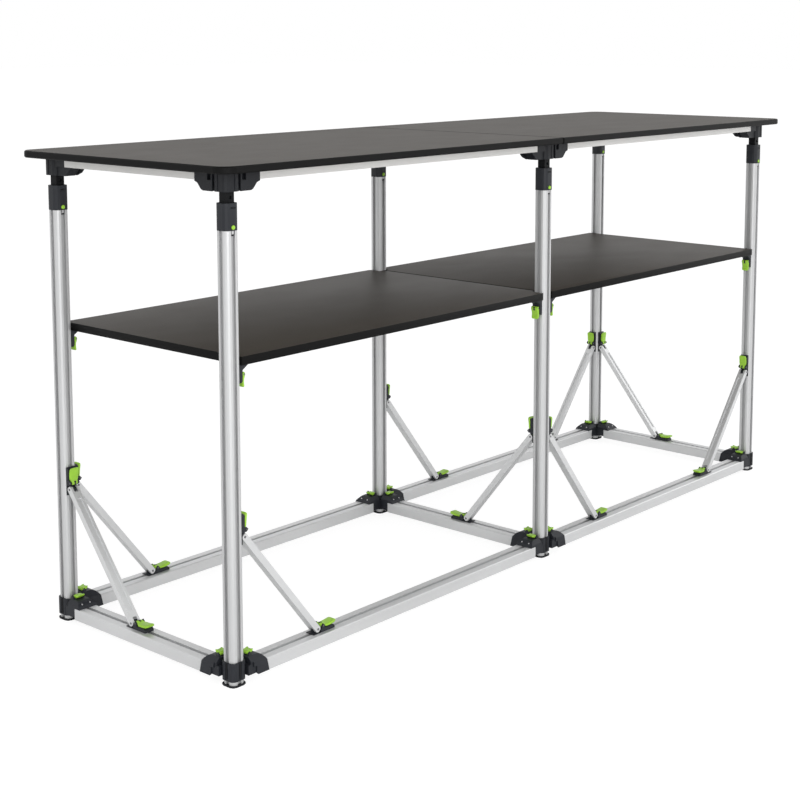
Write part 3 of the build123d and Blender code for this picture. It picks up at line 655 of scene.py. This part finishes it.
class TABLE_OT_build_recesses(bpy.types.Operator):
    """Build near-black blocks of painted shade in the slits of the sockets, in the slots of the leg heads
    and behind their clips
    """
    bl_idname = "work_table.build_recesses"
    bl_label = "Build Recesses"

    def execute(self, context):
        colour = tuple(context.scene.table_finishes.moulding)
        # Painted shade: dark blocks stand in for the shade inside slits and slots
        painted_black = moulded("recess_painted_shade", [c * RECESS_PAINTED_SHADE for c in colour], RECESS_ROUGHNESS)
        slit, head_slots, slits = bmesh.new(), bmesh.new(), bmesh.new()
        block(slit, SLIT_MIDDLE, SLIT_SIZE, SLIT_SOFTEN)
        block(head_slots, HEAD_SLOT_MIDDLE, HEAD_SLOT_SIZE, SLIT_SOFTEN)
        block(head_slots, CLIP_BACK_MIDDLE, CLIP_BACK_SIZE, SLIT_SOFTEN)
        for post, headings in ARMS.items():
            free = [heading for heading in (EAST, NORTH, WEST, SOUTH) if heading not in headings]
            copies(slits, slit, [on_post(post, heading) for heading in free])
            copies(slits, head_slots, [on_post(post, SOUTH)])
        slit.free()
        head_slots.free()
        finish_piece(slits, "painted_shade_slits", "frame", painted_black)
        return {"FINISHED"}


class TABLE_OT_build_levers(bpy.types.Operator):
    """Build the rounded green levers, latches and buttons"""
    bl_idname = "work_table.build_levers"
    bl_label = "Build Levers"

    def execute(self, context):
        finishes = context.scene.table_finishes
        green = moulded("green_moulding", tuple(finishes.lever), LEVER_ROUGHNESS, LEVER_GRAIN)
        dark = moulded("lever_knuckle", tuple(finishes.moulding), MOULDED_ROUGHNESS)
        lever = lofted(LEVER_SECTIONS)
        knuckle = bmesh.new()
        block(knuckle, KNUCKLE_MIDDLE, KNUCKLE_SIZE, KNUCKLE_SOFTEN)
        latch = lofted(LATCH_SECTIONS)
        shelf_lever = lofted(SHELF_LEVER_SECTIONS)
        on_rail = Matrix.Translation((BRACE_REACH + LEVER_HINGE, 0, CLAMP_SEAT + LEVER_AXIS))
        up_post = Matrix.Translation((POST_FACE + LEVER_AXIS, 0, BRACE_UP + LEVER_HINGE)) @ UPRIGHT
        up_post = up_post @ Matrix.Diagonal(POST_LEVER_SCALE)
        on_hood = Matrix.Translation((LATCH_HINGE, 0, LATCH_AXIS)) @ Matrix.Diagonal(LATCH_SCALE)
        below_shelf = Matrix.Translation((SHELF_HINGE_OUT, 0, SHELF_HINGE_UP)) @ HANGING
        for name, members in BRACES.items():
            places = [on_post(*member) for member in members]
            for kind, seat in (("rail_lever", on_rail), ("post_lever", up_post)):
                bm = bmesh.new()
                copies(bm, lever, [place @ seat for place in places])
                finish_piece(bm, f"{name}_{kind}_dressed", f"{name}_{kind}", green,
                             [f"{name}_{kind}s"])
                bm = bmesh.new()
                copies(bm, knuckle, [place @ seat for place in places])
                finish_piece(bm, f"{name}_{kind}_knuckles", f"{name}_{kind}", dark)
        for groups, shape, seat in ((LATCHES, latch, on_hood), (SHELF_LEVERS, shelf_lever, below_shelf)):
            for name, members in groups.items():
                bm = bmesh.new()
                copies(bm, shape, [on_post(*member) @ seat for member in members])
                finish_piece(bm, f"{name}_dressed", f"{name}_body", green, [name])
        for name, members in SHELF_LEVERS.items():
            bm = bmesh.new()
            copies(bm, knuckle, [on_post(*member) @ below_shelf for member in members])
            finish_piece(bm, f"{name}_knuckles", f"{name}_body", dark)
        bm = bmesh.new()
        for x, y in POSTS.values():
            disc(bm, (x, y - BUTTON_MIDDLE, BUTTON_UP), (0, 1, 0), BUTTON_RADIUS, BUTTON_LENGTH)
        finish_piece(bm, "lock_buttons_dressed", "buttons", green, ["lock_buttons"])
        for shape in (lever, knuckle, latch, shelf_lever):
            shape.free()
        return {"FINISHED"}


class TABLE_OT_build_fasteners(bpy.types.Operator):
    """Build the pin heads, the screws and the clips under the leg heads"""
    bl_idname = "work_table.build_fasteners"
    bl_label = "Build Fasteners"

    def execute(self, context):
        dull = anodised("fastener_steel", STEEL, (0, 0, 1))
        bright = anodised("bright_steel", BRIGHT_STEEL, (0, 0, 1))
        pivots = ((POST_FACE + PIVOT_RISE, BRACE_UP), (BRACE_REACH, CLAMP_SEAT + PIVOT_RISE))
        rail_hinge = (BRACE_REACH + LEVER_HINGE, CLAMP_SEAT + LEVER_AXIS)
        post_hinge = (POST_FACE + LEVER_AXIS, BRACE_UP + LEVER_HINGE)
        frame_pins = bmesh.new()
        for name, members in BRACES.items():
            heads, ear_pins = bmesh.new(), bmesh.new()
            for member in members:
                place = on_post(*member)
                for x, z in pivots:
                    pin_heads(heads, place, x, z, BRACE_HALF, PIVOT_HEAD)
                pin_heads(ear_pins, place, *rail_hinge, CLAMP_HALF, EAR_HEAD)
                pin_heads(frame_pins, place, *post_hinge, CLAMP_HALF, EAR_HEAD)
            finish_piece(heads, f"{name}_pin_heads", name, dull)
            finish_piece(ear_pins, f"{name}_lever_pins", f"{name}_rail_clamp", dull)
        for members in SHELF_LEVERS.values():
            for member in members:
                pin_heads(frame_pins, on_post(*member), SHELF_HINGE_OUT, SHELF_HINGE_UP, SHELF_EAR_HALF,
                          EAR_HEAD)
        finish_piece(frame_pins, "fixed_lever_pins", "frame", dull)
        # Partly painted highlight: pale discs for the glint on the screw recesses
        screws = bmesh.new()
        for post, headings in ARMS.items():
            for heading in headings:
                place = on_post(post, heading)
                slope = place.to_3x3() @ Vector((SCREW_SLOPE[0], 0, SCREW_SLOPE[1]))
                for side in (-SCREW_APART, SCREW_APART):
                    disc(screws, place @ Vector((SCREW_REACH, side, SCREW_HEIGHT)), slope, SCREW_RADIUS,
                         SCREW_HEAD)
        finish_piece(screws, "hood_screws", "frame", bright)
        clips = bmesh.new()
        for x, y in POSTS.values():
            block(clips, (x, y - CLIP_OUT, HEAD_BOTTOM - CLIP_SIZE[2] / 2), CLIP_SIZE, CLIP_SOFTEN)
        finish_piece(clips, "head_clips", "frame", bright)
        return {"FINISHED"}


class TABLE_OT_finish_boards(bpy.types.Operator):
    """Give the top its dark laminate and build the shelf boards of it"""
    bl_idname = "work_table.finish_boards"
    bl_label = "Finish Boards"

    def execute(self, context):
        finishes = context.scene.table_finishes
        board = laminate("board_laminate", tuple(finishes.board), tuple(finishes.board_edge_and_seam_shade))
        for name in ("top_board_left", "top_board_right"):
            paint(name, board)
        for name, side in (("left", -1), ("right", 1)):
            outline = [(side * x, y, SHELF_UNDERSIDE) for x, y in SHELF_OUTLINE]
            bm = extruded(outline, (0, 0, SHELF_THICKNESS), SHELF_SOFTEN)
            finish_piece(bm, f"shelf_{name}_dressed", "frame", board, [f"shelf_board_{name}"])
        return {"FINISHED"}


class TABLE_OT_build_stage(bpy.types.Operator):
    """Set up the pale floor, the soft light and the camera"""
    bl_idname = "work_table.build_stage"
    bl_label = "Build Stage"

    def execute(self, context):
        scene = context.scene
        finishes = scene.table_finishes
        bm = bmesh.new()
        bmesh.ops.create_grid(bm, x_segments=1, y_segments=1, size=FLOOR_SIZE)
        mesh = bpy.data.meshes.new("studio_floor")
        bm.to_mesh(mesh)
        bm.free()
        floor = bpy.data.objects.new("studio_floor", mesh)
        scene.collection.objects.link(floor)
        material, tree, shader, place = new_material("studio_floor")
        dust = stretched_noise(tree, place, (2.0, 2.0, 2.0))
        tree.links.new(tinted(tree, dust, tuple(finishes.floor), 0.995, 1.005), shader.inputs["Base Color"])
        shader.inputs["Roughness"].default_value = FLOOR_ROUGHNESS
        shader.inputs["Specular IOR Level"].default_value = 0.0
        glow = tree.nodes.new("ShaderNodeEmission")
        glow.inputs["Strength"].default_value = FLOOR_LEVEL
        path = tree.nodes.new("ShaderNodeLightPath")
        share = tree.nodes.new("ShaderNodeMath")
        share.operation = "MULTIPLY"
        share.inputs[1].default_value = FLOOR_GLOW
        mix = tree.nodes.new("ShaderNodeMixShader")
        tree.links.new(path.outputs["Is Camera Ray"], share.inputs[0])
        tree.links.new(share.outputs["Value"], mix.inputs["Fac"])
        tree.links.new(shader.outputs["BSDF"], mix.inputs[1])
        tree.links.new(glow.outputs["Emission"], mix.inputs[2])
        tree.links.new(mix.outputs["Shader"], tree.nodes["Material Output"].inputs["Surface"])
        mesh.materials.append(material)

        world = bpy.data.worlds.new("studio")
        world.use_nodes = True
        scene.world = world
        nodes, links = world.node_tree.nodes, world.node_tree.links
        fill = nodes["Background"]
        fill.inputs["Color"].default_value = (1, 1, 1, 1)
        heading = nodes.new("ShaderNodeTexCoord")
        axes = nodes.new("ShaderNodeSeparateXYZ")
        links.new(heading.outputs["Generated"], axes.inputs["Vector"])
        height = nodes.new("ShaderNodeMapRange")
        height.inputs["To Min"].default_value = HORIZON_LIGHT
        height.inputs["To Max"].default_value = ZENITH_LIGHT
        links.new(axes.outputs["Z"], height.inputs["Value"])
        links.new(height.outputs["Result"], fill.inputs["Strength"])
        white = nodes.new("ShaderNodeBackground")
        white.inputs["Strength"].default_value = 1.0
        white.inputs["Color"].default_value = (1, 1, 1, 1)
        path = nodes.new("ShaderNodeLightPath")
        mix = nodes.new("ShaderNodeMixShader")
        links.new(path.outputs["Is Camera Ray"], mix.inputs["Fac"])
        links.new(fill.outputs["Background"], mix.inputs[1])
        links.new(white.outputs["Background"], mix.inputs[2])
        links.new(mix.outputs["Shader"], nodes["World Output"].inputs["Surface"])

        for name, spot, power, size in LAMPS:
            lamp = bpy.data.lights.new(name, "AREA")
            lamp.energy = power
            lamp.size = size
            holder = bpy.data.objects.new(name, lamp)
            scene.collection.objects.link(holder)
            holder.location = spot
            holder.rotation_euler = (LAMP_AIM - Vector(spot)).to_track_quat("-Z", "Y").to_euler()

        view = scene.table_view
        lens = bpy.data.cameras.new("camera")
        lens.sensor_width = SENSOR_WIDTH
        lens.lens = view.lens
        lens.shift_y = view.rise
        lens.clip_end = CLIP_END
        camera = bpy.data.objects.new("camera", lens)
        scene.collection.objects.link(camera)
        camera.matrix_world = (
            Matrix.Translation(view.place) @ Matrix.Rotation(-view.heading, 4, "Z")
            @ Matrix.Rotation(radians(90) - view.tilt, 4, "X") @ Matrix.Rotation(view.roll, 4, "Z"))
        scene.camera = camera
        scene.view_settings.view_transform = "Standard"
        return {"FINISHED"}


class TABLE_PT_sidebar(bpy.types.Panel):
    """The work table's tools"""
    bl_label = "Work Table"
    bl_idname = "TABLE_PT_sidebar"
    bl_space_type = "VIEW_3D"
    bl_region_type = "UI"
    bl_category = "Work Table"

    def draw(self, context):
        for operator in OPERATORS:
            self.layout.operator(operator.bl_idname)
        for group in (context.scene.table_finishes, context.scene.table_view):
            box = self.layout.box()
            for name in group.__annotations__:
                box.prop(group, name)


OPERATORS = (
    TABLE_OT_finish_extrusions,
    TABLE_OT_finish_mouldings,
    TABLE_OT_build_shelf_clamps,
    TABLE_OT_build_recesses,
    TABLE_OT_build_levers,
    TABLE_OT_build_fasteners,
    TABLE_OT_finish_boards,
    TABLE_OT_build_stage,
)
CLASSES = (TableFinishes, TableView, *OPERATORS, TABLE_PT_sidebar)


def register():
    for cls in CLASSES:
        bpy.utils.register_class(cls)
    bpy.types.Scene.table_finishes = PointerProperty(type=TableFinishes)
    bpy.types.Scene.table_view = PointerProperty(type=TableView)


def unregister():
    del bpy.types.Scene.table_view
    del bpy.types.Scene.table_finishes
    for cls in reversed(CLASSES):
        bpy.utils.unregister_class(cls)


def main():
    register()
    for operator in OPERATORS:
        group, name = operator.bl_idname.split(".")
        getattr(getattr(bpy.ops, group), name)()


if __name__ == "__main__":
    main()
